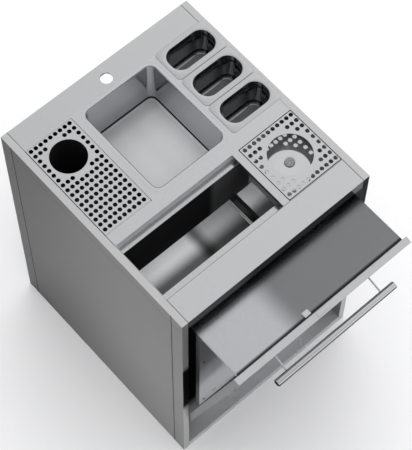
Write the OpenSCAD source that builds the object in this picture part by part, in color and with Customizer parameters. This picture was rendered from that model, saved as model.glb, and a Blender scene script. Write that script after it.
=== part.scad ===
// Bar sink with ice bin: a free-standing stainless cabinet with a worktop that holds a sink bowl,
// food pans, a drainer, a drip basin and an ice bin, over a tilt-out front door with a folding shelf.
// Millimetres, +Z up, +Y towards the back. The origin is on the floor, at the middle of the cabinet.
// The door is drawn closed and then tilted open, so the rest pose is the open one.

/* [Cabinet] */
// Width over the side walls
body_w = 650; // [650:1:680]
// Depth of the cabinet without the door's handle
body_d = 725; // [715:1:760]
// Height of the worktop above the floor
body_h = 925; // [900:1:950]
// Thickness of each hollow side wall
side_t = 20; // [18:1:21]
// Depth of the posts at the front and back of a side wall
post_d = 42; // [36:1:50]
// Height of the top rail of a side wall
side_rail_h = 45; // [35:1:55]
// Width of the seam between neighbouring sheet parts
seam = 0.6; // [0.4:0.1:1]
// Height of the base pan above the floor
base_h = 30; // [25:1:40]

/* [Sheet] */
// Thickness of the worktop and frame sheet
sheet_t = 1.5; // [1.2:0.1:1.8]
// Thickness of the liners, skins and basins
skin_t = 1.2; // [0.8:0.1:1.4]
// Height of the worktop's front fold
fold_h = 39; // [34:1:44]

/* [Tap hole] */
// Radius of the tap hole
tap_r = 17.5; // [16:0.5:18]
// Tap hole's centre from the left side
tap_x = 325.7; // [300:0.1:340]
// Tap hole's centre from the front
tap_y = 679.5; // [670:0.1:685]

/* [Sink] */
// Left edge of the sink opening
sink_left = 206; // [203:1:210]
// Width of the sink opening
sink_w = 240; // [225:1:243]
// Front edge of the sink opening
sink_front = 333; // [331:1:336]
// Length of the sink opening from front to back
sink_l = 304; // [290:1:306]
// Corner radius of the sink opening
sink_r = 22; // [15:1:40]
// Depth of the bowl
sink_depth = 170; // [140:1:200]
// Radius of the waste flange on the bowl's floor
waste_r = 30; // [28:1:34]

/* [Food pans] */
// Length of a pan's rim
rim_l = 176; // [174:1:178]
// Width of a pan's rim
rim_w = 108; // [106:1:108.4]
// Thickness of a pan's rim
rim_t = 1; // [0.8:0.1:1.2]
// Distance between the centres of neighbouring pans
pan_pitch = 108.7; // [108.5:0.1:110]
// Middle of the front pan from the front
pan_first = 379.6; // [379:0.1:382]
// Length of a pan's opening
pan_l = 148.4; // [140:0.1:149]
// Width of a pan's opening
pan_w = 78.4; // [70:0.1:80]
// Corner radius of a pan's opening
pan_r = 34; // [15:1:38]
// Depth of a pan
pan_depth = 100; // [65:1:150]

/* [Drainer] */
// Right edge of the perforated drainer plate
drainer_right = 175.4; // [172:0.1:176]
// Front edge of the drainer plate
drainer_front = 322.4; // [321:0.1:324]
// Length of the drainer plate
drainer_l = 324.4; // [318:0.1:326]
// Distance of hole rows from front to back
drainer_row = 18.86; // [18.5:0.01:19]
// Distance of hole columns from left to right
drainer_col = 16.35; // [16:0.01:16.6]
// Radius of a drain hole
hole_r = 6.2; // [3:0.1:6.4]
// Radius of the waste hole in the drainer plate
chute_r = 51.5; // [45:0.5:52]
// Waste hole's centre from the front
chute_y = 562.6; // [560:0.1:565]

/* [Drip basin] */
// Left edge of the basin
drip_left = 443; // [442:0.5:446]
// Front edge of the basin
drip_front = 84; // [83:0.5:86]
// Back edge of the basin
drip_back = 283; // [280:0.5:284]
// Depth of the basin
drip_depth = 45.5; // [40:0.5:60]
// Radius of the round cut-out in the drip plate
drip_r = 62; // [50:1:62]
// Radius of the basin's drain
drip_drain_r = 11.5; // [8:0.5:13]

/* [Ice bin] */
// Right edge of the opening above the ice bin
ice_right = 421.4; // [400:0.1:425]
// Front edge of the lid rebate
ice_front = 83; // [83:0.1:85]
// Back edge of the lid rebate
ice_back = 282.7; // [275:0.1:283]
// Depth of the lid rebate
rebate_d = 26; // [20:1:30]
// Front wall of the bin
bin_front = 108.5; // [105:0.1:112]
// Back wall of the bin
bin_back = 263.5; // [255:0.1:266]
// Depth of the bin below the worktop
bin_depth = 200; // [160:1:210]
// Thickness of the foam
foam_t = 18; // [15:1:18]
// Right wall of the bin, which runs on under the drip basin
bin_right = 482; // [460:1:490]
// Left edge of the drain trough in the bin's floor
trough_left = 399; // [395:0.5:400]
// Width of the drain trough
trough_w = 27; // [27:0.5:29]
// Depth of the drain trough
trough_d = 30; // [20:1:35]

/* [Door] */
// Angle by which the door is open at rest
door_open = 16.05; // [14:0.05:16.05]
// Height of the door's top edge when closed
door_top = 882.7; // [880:0.1:883]
// Height of the door's bottom edge when closed
door_bottom = 186; // [180:1:190]
// Thickness of the door
door_t = 20; // [18:1:20]
// Gap between the door and each side wall
door_gap = 3.4; // [2.5:0.1:5]
// Radius of the door's pivot pins
pivot_r = 4; // [3:0.5:5]
// Length of the handle bar
handle_l = 418; // [300:1:460]
// Radius of the handle bar
handle_r = 10.5; // [8:0.5:12]
// Distance of the bar's axis from the door's face
handle_off = 57; // [45:1:60]
// Distance of the bar's axis below the door's top edge
handle_down = 49; // [40:1:80]

/* [Shelf] */
// Width of the folding shelf
shelf_w = 576; // [560:1:580]
// Height of the shelf's top above the floor
shelf_top = 856.5; // [856:0.1:857]
// Length of the shelf from front to back
shelf_l = 177; // [170:1:178]
// Height of the shelf's turned-down edges
shelf_lip = 8; // [6:1:9]

/* [Hidden] */
$fn = 64;

steel = [0.73, 0.74, 0.75];
dark_steel = [0.45, 0.46, 0.48];
bright_steel = [0.85, 0.86, 0.87];
plastic = [0.2, 0.21, 0.22];
foam = [0.85, 0.78, 0.55];

// Small overlap that lets a cut run past a face
cut = 1;

// The worktop lies between the side walls
top_x = [side_t + seam, body_w - side_t - seam];
sheet_z = [body_h - sheet_t, body_h];
under_sheet = body_h - sheet_t;
cavity_x = [side_t, body_w - side_t];

sink_x = [sink_left, sink_left + sink_w];
sink_y = [sink_front, sink_front + sink_l];
sink_floor = body_h - sink_depth;
waste_x = sink_x[0] + 37;
waste_y = sink_y[0] + 35;
waste_bore = 22;

pan_x = body_w - 95.7;
pan_wall = 0.8;
pan_step = 22;
pan_step_in = 3.2;
pan_slot = 0.8;

drainer_x = [side_t + 2.2, drainer_right];
drainer_y = [drainer_front, drainer_front + drainer_l];
drainer_mid = (side_t + drainer_right) / 2;
tray_x = [side_t + seam + skin_t, drainer_right + 1.2];
tray_y = grow(drainer_y, 0.7);
tray_floor = body_h - 30;
chute_wall = 1.5;
hole_clear = chute_r + 12;

drip_x = [drip_left, body_w - side_t];
drip_y = [drip_front, drip_back];
drip_mid = [538, 184];
drip_floor = body_h - drip_depth;
drip_gap = 2.6;
drip_clear = drip_r + 13.5;

ice_x = [side_t + seam + sheet_t, ice_right + 17];
ice_y = [ice_front, ice_back];
bin_y = [bin_front, bin_back];
ledge_z = body_h - rebate_d;
bin_floor = body_h - bin_depth;
foam_top = 868;
bin_x = [ice_x[0], bin_right];
bin_roof = foam_top - sheet_t;
trough_x = [trough_left, trough_left + trough_w];
trough_floor = bin_floor - trough_d;
foam_floor = trough_floor - sheet_t - 8;
ice_drain_pos = [middle(trough_x), bin_front + 30];
ice_drain_r = 12;

panel_y = 66;
panel_left = 118.4;
panel_fold = 15;
header_z = 560;
header_y = 360;
header_r = 20;
outlet_x = 340;
spigot_l = 35;

door_x = [side_t + door_gap, body_w - side_t - door_gap];
pivot_y = 10;
pivot_z = door_bottom + 10;
pivot_len = 18;
bearing_gap = 0.05;

// Hinge axis of the shelf, placed on the closed door
knuckle_r = 4;
knuckle_gap = 2.5;
rod_r = 1.5;
hinge_y = door_t + knuckle_gap + knuckle_r;
hinge_z = door_top - 12;
hinge_x = [80, 490];
hinge_len = 80;
knuckle_len = 20;

// Curved stay, an arc about the door's pivot
stay_r = 300;
stay_w = 12;
stay_t = 3;
stay_x = 598;
stay_stop_r = 5;
guide_t = 3;

function grow(range, by) = [range[0] - by, range[1] + by];
function middle(range) = (range[0] + range[1]) / 2;
function pan_y(index) = pan_first + index * pan_pitch;
// A point of the closed door after the door has been tilted open, as [y, z]
function tilted(y, z) = [
    pivot_y + (y - pivot_y) * cos(door_open) - (z - pivot_z) * sin(door_open),
    pivot_z + (y - pivot_y) * sin(door_open) + (z - pivot_z) * cos(door_open)];

hinge_at = tilted(hinge_y, hinge_z);
shelf_y = [hinge_at[0] - 5, hinge_at[0] - 5 + shelf_l];
shelf_x = [(body_w - shelf_w) / 2, (body_w + shelf_w) / 2];
shelf_under = shelf_top - sheet_t;
stay_end = door_open + asin((panel_y + sheet_t + guide_t + stay_stop_r + 0.5 - pivot_y) / stay_r);
guide_z = pivot_z + sqrt(pow(stay_r, 2) - pow(panel_y + sheet_t - pivot_y, 2));

// Everything is drawn from the cabinet's front left corner on the floor
module from_corner() translate([-body_w / 2, -body_d / 2, 0]) children();

module mirrored() translate([body_w, 0, 0]) mirror([1, 0, 0]) children();

module on_door() translate([0, pivot_y, pivot_z]) rotate([door_open, 0, 0])
    translate([0, -pivot_y, -pivot_z]) children();

module block(x, y, z) translate([x[0], y[0], z[0]]) cube([x[1] - x[0], y[1] - y[0], z[1] - z[0]]);

module rounded(x, y, r) {
    translate([x[0] + r, y[0]]) square([x[1] - x[0] - 2 * r, y[1] - y[0]]);
    translate([x[0], y[0] + r]) square([x[1] - x[0], y[1] - y[0] - 2 * r]);
    for (cx = grow(x, -r), cy = grow(y, -r)) translate([cx, cy]) circle(r);
}

module slab(x, y, z, r) translate([0, 0, z[0]]) linear_extrude(z[1] - z[0]) rounded(x, y, r);

// Open box of sheet around an inner space
module box_shell(x, y, z, t) difference() {
    block(grow(x, t), grow(y, t), [z[0] - t, z[1]]);
    block(x, y, [z[0], z[1] + cut]);
}

module rod_x(x, y, z, r) translate([x[0], y, z]) rotate([0, 90, 0]) cylinder(h = x[1] - x[0], r = r);

module rod_y(x, y, z, r) translate([x, y[0], z]) rotate([-90, 0, 0]) cylinder(h = y[1] - y[0], r = r);

module rod_z(x, y, z, r) translate([x, y, z[0]]) cylinder(h = z[1] - z[0], r = r);

// Side walls

module side_frame() difference() {
    union() {
        block([0, side_t], [0, post_d], [0, body_h]);
        block([0, side_t], [body_d - post_d, body_d], [0, body_h]);
        block([0, side_t], [0, body_d], [body_h - side_rail_h, body_h]);
    }
    hollow = grow([0, side_t], -sheet_t);
    block(hollow, grow([0, post_d], -sheet_t), [-cut, body_h - sheet_t]);
    block(hollow, grow([body_d - post_d, body_d], -sheet_t), [-cut, body_h - sheet_t]);
    block(hollow, grow([0, body_d], -sheet_t), grow([body_h - side_rail_h, body_h], -sheet_t));
}

module side_panel() {
    y = grow([post_d, body_d - post_d], -seam);
    z = [0, body_h - side_rail_h - seam];
    difference() {
        block([0, side_t - sheet_t], y, z);
        block([skin_t, side_t], grow(y, -skin_t), grow(z, -skin_t));
    }
}

module side_liner() {
    y = grow([post_d, body_d - post_d], -seam);
    block([side_t - sheet_t, side_t], y, [0, body_h - side_rail_h - seam]);
}

module left_frame() color(steel) from_corner() side_frame();

module left_panel() color(steel) from_corner() side_panel();

module left_liner() color(dark_steel) from_corner() side_liner();

module right_frame() color(steel) from_corner() mirrored() side_frame();

module right_panel() color(steel) from_corner() mirrored() side_panel();

module right_liner() color(dark_steel) from_corner() mirrored() side_liner();

// Worktop and what carries it

module worktop_cutouts() {
    translate([tap_x, tap_y]) circle(tap_r);
    rounded(sink_x, sink_y, sink_r);
    translate([0, tray_y[0]]) square([tray_x[1], tray_y[1] - tray_y[0]]);
    translate([0, ice_y[0]]) square([ice_right, ice_y[1] - ice_y[0]]);
    translate([drip_x[0], drip_y[0]]) square([side_t * 2 + drip_x[1], drip_y[1] - drip_y[0]]);
    for (i = [0:2])
        rounded([pan_x - pan_l / 2 - pan_wall - pan_slot, body_w + pan_r],
            grow([pan_y(i), pan_y(i)], pan_w / 2 + pan_wall + pan_slot), pan_r);
}

module worktop_sheet(y) translate([0, 0, sheet_z[0]]) linear_extrude(sheet_t) difference() {
    translate([top_x[0], y[0]]) square([top_x[1] - top_x[0], y[1] - y[0]]);
    worktop_cutouts();
}

// Three sheets butt welded flush: the front strip, the middle and the tap deck
strip_y = [0, drip_y[0]];
deck_y = [sink_y[1] + 14, body_d];

module worktop() color(steel) from_corner() worktop_sheet([strip_y[1], deck_y[0]]);

module front_strip() color(steel) from_corner() {
    worktop_sheet(strip_y);
    block(top_x, [0, sheet_t], [body_h - fold_h, under_sheet]);
    block(top_x, [sheet_t, door_t], [body_h - fold_h, body_h - fold_h + sheet_t]);
}

module tap_deck() color(steel) from_corner() {
    worktop_sheet(deck_y);
    block(top_x, [body_d - sheet_t, body_d], [body_h - fold_h, under_sheet]);
}

module worktop_rail() color(dark_steel) from_corner() difference() {
    rail_y = [288, 312];
    rail_z = [under_sheet - 20, under_sheet];
    block(cavity_x, rail_y, rail_z);
    block(grow(cavity_x, cut), grow(rail_y, -sheet_t), [rail_z[0] - cut, rail_z[1] - sheet_t]);
}

module pan_rails() color(dark_steel) from_corner() for (i = [0, 1]) {
    rail_y = (pan_y(i) + pan_y(i + 1)) / 2;
    block([470, cavity_x[1]], grow([rail_y, rail_y], 8), [under_sheet - 8, under_sheet]);
}

module tap_plate() color(dark_steel) from_corner() difference() {
    block([tap_x - 60, tap_x + 60], [tap_y - 24, tap_y + 24], [under_sheet - 3, under_sheet]);
    rod_z(tap_x, tap_y, [under_sheet - 3 - cut, body_h], tap_r);
}

module back_top_rail() color(dark_steel) from_corner() difference() {
    rail_y = [body_d - 12, body_d - sheet_t];
    rail_z = [body_h - fold_h, under_sheet];
    block(cavity_x, rail_y, rail_z);
    block(grow(cavity_x, cut), [rail_y[0] + sheet_t, body_d], grow(rail_z, -sheet_t));
}

module back_mid_rail() color(dark_steel) from_corner() difference() {
    rail_y = [body_d - 25, body_d - 3];
    rail_z = [640, 680];
    block(cavity_x, rail_y, rail_z);
    block(grow(cavity_x, cut), [rail_y[0] - cut, rail_y[1] - sheet_t], grow(rail_z, -sheet_t));
}

module base_pan() color(steel) from_corner() difference() {
    block(cavity_x, [0, body_d], [0, base_h]);
    block(grow(cavity_x, -sheet_t), grow([0, body_d], -sheet_t), [-cut, base_h - sheet_t]);
}

module base_stiffener() color(dark_steel) from_corner() difference() {
    x = grow(cavity_x, -30);
    y = grow([body_d / 2, body_d / 2], 30);
    block(x, y, [0, base_h - sheet_t]);
    block(grow(x, cut), grow(y, -sheet_t), [sheet_t, base_h]);
}

// Inner panel behind the door, a shallow tray whose folded edges point to the back
module service_panel() color(steel) from_corner() {
    x = [panel_left, cavity_x[1]];
    z = [base_h, under_sheet];
    difference() {
        block(x, [panel_y, panel_y + panel_fold], z);
        block(grow(x, -sheet_t), [panel_y + sheet_t, panel_y + panel_fold + cut], grow(z, -sheet_t));
        block(grow([stay_x, stay_x], 5), [panel_y - cut, panel_y + sheet_t + cut],
            grow([guide_z, guide_z], 12));
    }
}

module service_screws() color(dark_steel) from_corner()
    for (x = [135, 614], z = [60, 350, 690])
        rod_y(x, [panel_y - 2, panel_y], z, 4);

// Sink

module sink_bowl() color(bright_steel) from_corner() difference() {
    union() {
        slab(grow(sink_x, 1), grow(sink_y, 1), [sink_floor - 1, under_sheet], sink_r + 1);
        slab(grow(sink_x, 14), grow(sink_y, 14), [under_sheet - 1.5, under_sheet], sink_r + 14);
    }
    slab(sink_x, sink_y, [sink_floor, body_h], sink_r);
    rod_z(waste_x, waste_y, [sink_floor - 2, body_h], waste_bore + 1.6);
}

module sink_waste() color(dark_steel) from_corner() difference() {
    union() {
        rod_z(waste_x, waste_y, [sink_floor, sink_floor + 1.5], waste_r);
        rod_z(waste_x, waste_y, [sink_floor - 50, sink_floor], waste_bore + 1.5);
        rod_z(waste_x, waste_y, [sink_floor - 13, sink_floor - 1], waste_r + 3);
    }
    rod_z(waste_x, waste_y, [sink_floor - 51, sink_floor + 3], waste_bore);
}

// Bottle trap with a side arm that turns down into the header
module sink_trap() color(plastic) from_corner() {
    arm_x = waste_x + 47;
    arm_z = 665;
    neck_z = sink_floor - 50;
    difference() {
        union() {
            rod_z(waste_x, waste_y, [600, neck_z - 15], 35);
            rod_z(waste_x, waste_y, [neck_z - 15, neck_z + 15], waste_bore + 6);
            rod_x([waste_x, arm_x], waste_y, arm_z, 16);
            translate([arm_x, waste_y, arm_z]) sphere(16);
            rod_z(arm_x, waste_y, [header_z + 10, arm_z], 16);
        }
        rod_z(waste_x, waste_y, [603, neck_z - 18], 32);
        rod_z(waste_x, waste_y, [neck_z - 20, neck_z + 16], waste_bore + 1.5);
        rod_x(cavity_x, header_y, header_z, header_r);
    }
}

module sink_strainer() color(bright_steel) from_corner() {
    rim_z = sink_floor + 1.5;
    difference() {
        union() {
            rod_z(waste_x, waste_y, [rim_z, rim_z + 1.2], 26);
            rod_z(waste_x, waste_y, [rim_z - 26, rim_z], 20);
        }
        rod_z(waste_x, waste_y, [rim_z - 25, rim_z + 2], 19);
        for (turn = [0:45:315])
            translate([waste_x, waste_y, 0]) rotate([0, 0, turn]) rod_z(11, 0, [rim_z - 27, rim_z], 3);
    }
    rod_z(waste_x, waste_y, [rim_z - 25, rim_z + 9], 2.5);
    rod_z(waste_x, waste_y, [rim_z + 9, rim_z + 14], 6);
}

// Drain header: one pipe across, and an outlet pipe to the back with a spigot at its end
module drain_header() color(plastic) from_corner() {
    x = [drainer_mid - header_r, drip_mid[0] + header_r];
    y = [header_y, body_d - 3];
    difference() {
        union() {
            rod_x(x, header_y, header_z, header_r);
            rod_y(outlet_x, y, header_z, header_r - 1);
            rod_y(outlet_x, [y[1] - spigot_l, y[1]], header_z, header_r);
        }
        rod_x(grow(x, -2), header_y, header_z, header_r - 3);
        rod_y(outlet_x, [y[0], y[1] + cut], header_z, header_r - 3);
    }
}

// Food pans

// Outline of a pan at its middle, grown by a distance
module pan_outline(index, by) {
    x = grow([pan_x, pan_x], pan_l / 2 + by);
    y = grow([pan_y(index), pan_y(index)], pan_w / 2 + by);
    rounded(x, y, pan_r + by);
}

module pan_body(index, by, z) translate([0, 0, z[0]]) linear_extrude(z[1] - z[0])
    pan_outline(index, by);

module food_pan(index) color(bright_steel) from_corner() difference() {
    union() {
        slab(grow([pan_x, pan_x], rim_l / 2), grow([pan_y(index), pan_y(index)], rim_w / 2),
            [body_h, body_h + rim_t], 12);
        pan_body(index, pan_wall, [body_h - pan_step, body_h]);
        pan_body(index, pan_wall - pan_step_in, [body_h - pan_depth, body_h - pan_step]);
    }
    pan_body(index, 0, [body_h - pan_step + pan_wall, body_h + rim_t + cut]);
    pan_body(index, -pan_step_in, [body_h - pan_depth + pan_wall, body_h]);
}

module pan_front() food_pan(0);

module pan_middle() food_pan(1);

module pan_back() food_pan(2);

// Drainer and waste

// Rows of drain holes that leave out those too close to a round cut-out
module hole_grid(first, cols, rows, step, centre, clear)
    for (col = [0:cols - 1], row = [0:rows - 1]) {
        at = [first[0] + col * step[0], first[1] - row * step[1]];
        if (norm(at - centre) > clear) translate(at) circle(hole_r, $fn = 24);
    }

module drainer_plate() color(steel) from_corner() {
    difference() {
        block(drainer_x, drainer_y, [tray_floor, body_h]);
        block(grow(drainer_x, -skin_t), grow(drainer_y, -skin_t), [tray_floor - cut, under_sheet]);
        translate([0, 0, under_sheet - cut]) linear_extrude(sheet_t + 2 * cut) {
            translate([drainer_mid, chute_y]) circle(chute_r);
            hole_grid([drainer_mid - 4 * drainer_col, drainer_y[1] - 8.8], 9, 17,
                [drainer_col, drainer_row], [drainer_mid, chute_y], hole_clear);
        }
    }
}

module drainer_tray() color(steel) from_corner() difference() {
    union() {
        box_shell(tray_x, tray_y, [tray_floor, under_sheet], skin_t);
        block([tray_x[1], tray_x[1] + 10], grow(tray_y, skin_t), [under_sheet - 1, under_sheet]);
    }
    block(tray_x, tray_y, [tray_floor, body_h]);
    rod_z(drainer_mid, chute_y, [tray_floor - 2, body_h], chute_r + chute_wall);
    rod_z(drainer_mid, header_y, [tray_floor - 2, body_h], 14);
}

module drainer_drain() color(plastic) from_corner() difference() {
    rod_z(drainer_mid, header_y, [header_z, tray_floor], 14);
    rod_z(drainer_mid, header_y, [header_z, body_h], 12);
    rod_x(cavity_x, header_y, header_z, header_r);
}

module waste_chute() color(dark_steel) from_corner() difference() {
    union() {
        rod_z(drainer_mid, chute_y, [640, under_sheet - 0.5], chute_r + chute_wall);
        rod_z(drainer_mid, chute_y, [tray_floor, tray_floor + 1.5], chute_r + 10);
    }
    rod_z(drainer_mid, chute_y, [640 - cut, body_h], chute_r);
}

module waste_bin() color(plastic) from_corner()
    box_shell([29, 181], [453, 697], [base_h + 3, 600], 3);

// Drip basin

module drip_plate() color(steel) from_corner() {
    x = grow(drip_x, -drip_gap);
    y = grow(drip_y, -drip_gap);
    translate([0, 0, under_sheet]) linear_extrude(sheet_t) difference() {
        rounded(x, y, 2);
        translate(drip_mid) circle(drip_r);
        hole_grid([456, 270.7], 11, 9, [16.4, 21.6], drip_mid, drip_clear);
    }
}

// Four feet hold the plate flush with the worktop
module drip_feet() color(plastic) from_corner()
    for (px = grow(drip_x, -drip_gap - 3.2), py = grow(drip_y, -drip_gap - 3.2))
        rod_z(px, py, [drip_floor, under_sheet], 2.2);

module drip_basin() color(bright_steel) from_corner() difference() {
    block([drip_x[0], drip_x[1]], drip_y, [drip_floor - skin_t, under_sheet]);
    block(grow(drip_x, -skin_t), grow(drip_y, -skin_t), [drip_floor, body_h]);
    rod_z(drip_mid[0], drip_mid[1], [drip_floor - 2, body_h], drip_drain_r);
}

// Flat disc with six small holes in the basin's drain
module drip_grate() color(dark_steel) from_corner() difference() {
    rod_z(drip_mid[0], drip_mid[1], [drip_floor - skin_t, drip_floor + 0.3], drip_drain_r - 0.05);
    for (turn = [0:60:300])
        rod_z(drip_mid[0] + 6.5 * cos(turn), drip_mid[1] + 6.5 * sin(turn),
            [drip_floor - 2, drip_floor + 1], 1.4);
}

module drip_drain() color(plastic) from_corner() difference() {
    union() {
        rod_z(drip_mid[0], drip_mid[1], [header_z, drip_floor - skin_t], drip_drain_r + 1.5);
        translate([drip_mid[0], drip_mid[1], header_z]) sphere(drip_drain_r + 1.5);
        rod_y(drip_mid[0], [drip_mid[1], header_y - header_r + 3], header_z, drip_drain_r + 1.5);
    }
    rod_z(drip_mid[0], drip_mid[1], [header_z, body_h], drip_drain_r);
    rod_x(cavity_x, header_y, header_z, header_r);
}

// Ice bin

// Outside of the tub and its trough, or with more = 0 their inside
module tub(more) {
    block(grow(bin_x, more), grow(bin_y, more), [bin_floor - more, bin_roof + more]);
    block(grow(trough_x, more), grow(bin_y, more), [trough_floor - more, bin_floor + 5]);
}

// Tub with a rim of two ledges for a lid; its right end lies under the drip basin
module ice_bin_liner() color(bright_steel) from_corner() difference() {
    union() {
        block(grow(ice_x, sheet_t), grow(ice_y, sheet_t), [ledge_z - sheet_t, under_sheet]);
        block(grow(ice_x, sheet_t), grow(bin_y, sheet_t), [bin_roof, ledge_z]);
        block([ice_x[0] - sheet_t, ice_x[0]], ice_y, [ledge_z, body_h]);
        tub(sheet_t);
    }
    block(ice_x, ice_y, [ledge_z, body_h + cut]);
    block(ice_x, bin_y, [bin_floor, body_h]);
    tub(0);
    rod_z(ice_drain_pos[0], ice_drain_pos[1], [trough_floor - 2, body_h], ice_drain_r);
}

module ice_bin_foam() color(foam) from_corner() difference() {
    block([ice_x[0] - sheet_t, bin_right + sheet_t + foam_t], grow(bin_y, sheet_t + foam_t),
        [foam_floor, foam_top]);
    block([0, bin_right + sheet_t], grow(bin_y, sheet_t), [bin_floor - sheet_t, body_h]);
    tub(sheet_t);
    rod_z(ice_drain_pos[0], ice_drain_pos[1], [0, body_h], ice_drain_r + 1.5);
}

module ice_bin_casing() color(dark_steel) from_corner() difference() {
    right = bin_right + sheet_t + foam_t;
    y = grow(bin_y, sheet_t + foam_t);
    block([ice_x[0] - sheet_t, right + 1], grow(y, 1), [foam_floor - 1, foam_top]);
    block([0, right], y, [foam_floor, body_h]);
    rod_z(ice_drain_pos[0], ice_drain_pos[1], [0, body_h], ice_drain_r + 1.5);
}

// Low channel beside the trough, which holds back the ice and can take a divider
module trough_rail() color(bright_steel) from_corner() difference() {
    y = grow(bin_y, -0.5);
    x = [trough_left - 8, trough_left - 0.6];
    block(x, y, [bin_floor, bin_floor + 5]);
    block(grow(x, -sheet_t), grow(y, cut), [bin_floor + sheet_t, bin_floor + 6]);
}

module ice_drain() color(plastic) from_corner() difference() {
    x = ice_drain_pos[0];
    y = ice_drain_pos[1];
    union() {
        rod_z(x, y, [header_z, trough_floor - sheet_t], ice_drain_r + 1.5);
        translate([x, y, header_z]) sphere(ice_drain_r + 1.5);
        rod_y(x, [y, header_y - header_r + 3], header_z, ice_drain_r + 1.5);
    }
    rod_z(x, y, [header_z, body_h], ice_drain_r);
    rod_x(cavity_x, header_y, header_z, header_r);
}

// Door, drawn closed and then tilted

module door_outer() color(steel) from_corner() on_door() difference() {
    z = [door_bottom, door_top];
    block(door_x, [0, door_t], z);
    block(grow(door_x, -skin_t), [skin_t, door_t + cut], grow(z, -skin_t));
    rod_x([0, body_w], pivot_y, pivot_z, pivot_r + 0.5);
    for (x = handle_post_x()) rod_y(x, [-cut, skin_t + cut], door_top - handle_down, 1.6);
}

module door_inner() color(steel) from_corner() on_door()
    block(grow(door_x, -skin_t), [door_t - skin_t, door_t], grow([door_bottom, door_top], -skin_t));

module pivot_pins() color(dark_steel) from_corner() {
    rod_x([side_t, side_t + 2], pivot_y, pivot_z, 9);
    rod_x([side_t + 2, side_t + pivot_len], pivot_y, pivot_z, pivot_r);
    mirrored() {
        rod_x([side_t, side_t + 2], pivot_y, pivot_z, 9);
        rod_x([side_t + 2, side_t + pivot_len], pivot_y, pivot_z, pivot_r);
    }
}

module pivot_block() difference() {
    x = [door_x[0] + skin_t, door_x[0] + skin_t + 20];
    block(x, grow([0, door_t], -skin_t), [door_bottom + skin_t, door_bottom + 22]);
    rod_x(grow(x, cut), pivot_y, pivot_z, pivot_r + bearing_gap);
}

module pivot_blocks() color(plastic) from_corner() on_door() {
    pivot_block();
    mirrored() pivot_block();
}

module door_keeper() color(bright_steel) from_corner() on_door()
    block([300, 335], [5, 18], [door_top, door_top + 1.5]);

module catch_magnet() color(plastic) from_corner() {
    lip_top = body_h - fold_h + sheet_t;
    block([300, 335], [4, 18], [lip_top, lip_top + 10]);
}

function handle_post_x() = [middle(door_x) - 166, middle(door_x) + 166];
handle_x = grow([body_w / 2, body_w / 2], handle_l / 2);
handle_z = door_top - handle_down;

module handle_bar() color(bright_steel) from_corner() on_door() difference() {
    rod_x(grow(handle_x, -2), -handle_off, handle_z, handle_r);
    rod_x(grow(handle_x, cut), -handle_off, handle_z, handle_r - sheet_t);
}

module handle_caps() color(bright_steel) from_corner() on_door() {
    rod_x([handle_x[0], handle_x[0] + 2], -handle_off, handle_z, handle_r);
    rod_x([handle_x[0] + 2, handle_x[0] + 12], -handle_off, handle_z, handle_r - sheet_t);
    rod_x([handle_x[1] - 2, handle_x[1]], -handle_off, handle_z, handle_r);
    rod_x([handle_x[1] - 12, handle_x[1] - 2], -handle_off, handle_z, handle_r - sheet_t);
}

module handle_posts() color(bright_steel) from_corner() on_door()
    for (x = handle_post_x()) difference() {
        rod_y(x, [-handle_off + handle_r, 0], handle_z, 2.5);
        rod_y(x, [-10, cut], handle_z, 1.5);
    }

module handle_screws() color(dark_steel) from_corner() on_door() for (x = handle_post_x()) {
    rod_y(x, [skin_t, skin_t + 2.5], handle_z, 4);
    rod_y(x, [-9, skin_t], handle_z, 1.5);
}

// Curved stay on the door's inner skin, with a stop pin at its end

module stay_arc() translate([stay_x - stay_t / 2, pivot_y, pivot_z]) rotate([90, 0, 90])
    linear_extrude(stay_t) intersection() {
        difference() {
            circle(stay_r + stay_w / 2, $fn = 180);
            circle(stay_r - stay_w / 2, $fn = 180);
        }
        polygon([[door_t - pivot_y, 0], [door_t - pivot_y, 2 * stay_r],
            2 * stay_r * [sin(stay_end), cos(stay_end)]]);
    }

module door_stay() color(dark_steel) from_corner() on_door() {
    foot_z = pivot_z + stay_r;
    stay_arc();
    block(grow([stay_x, stay_x], 8), [door_t, door_t + 2], grow([foot_z, foot_z], 16));
    rod_x(grow([stay_x, stay_x], 8), pivot_y + stay_r * sin(stay_end),
        pivot_z + stay_r * cos(stay_end), stay_stop_r);
}

module stay_guide() color(plastic) from_corner() {
    y = [panel_y + sheet_t, panel_y + sheet_t + guide_t];
    difference() {
        block(grow([stay_x, stay_x], 12), y, grow([guide_z, guide_z], 22));
        block(grow([stay_x, stay_x], stay_t / 2 + 0.8), grow(y, cut),
            grow([guide_z, guide_z], stay_w / 2 + 2));
    }
}

// Shelf hinge: two knuckles on the door and one on the shelf at each place

module door_hinge_leaf(x0) difference() {
    union() {
        block([x0, x0 + hinge_len], [door_t, door_t + 1.2], [hinge_z - 24, hinge_z - 6]);
        for (x = [x0, x0 + hinge_len - knuckle_len]) {
            block([x, x + knuckle_len], [door_t, hinge_y - 2], [hinge_z - 7.2, hinge_z - 2]);
            rod_x([x, x + knuckle_len], hinge_y, hinge_z, knuckle_r);
        }
    }
    rod_x([x0 - cut, x0 + hinge_len + cut], hinge_y, hinge_z, rod_r);
}

module door_hinge_leaves() color(dark_steel) from_corner() on_door()
    for (x0 = hinge_x) door_hinge_leaf(x0);

module hinge_rods() color(bright_steel) from_corner() on_door()
    for (x0 = hinge_x) rod_x([x0, x0 + hinge_len], hinge_y, hinge_z, rod_r);

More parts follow.
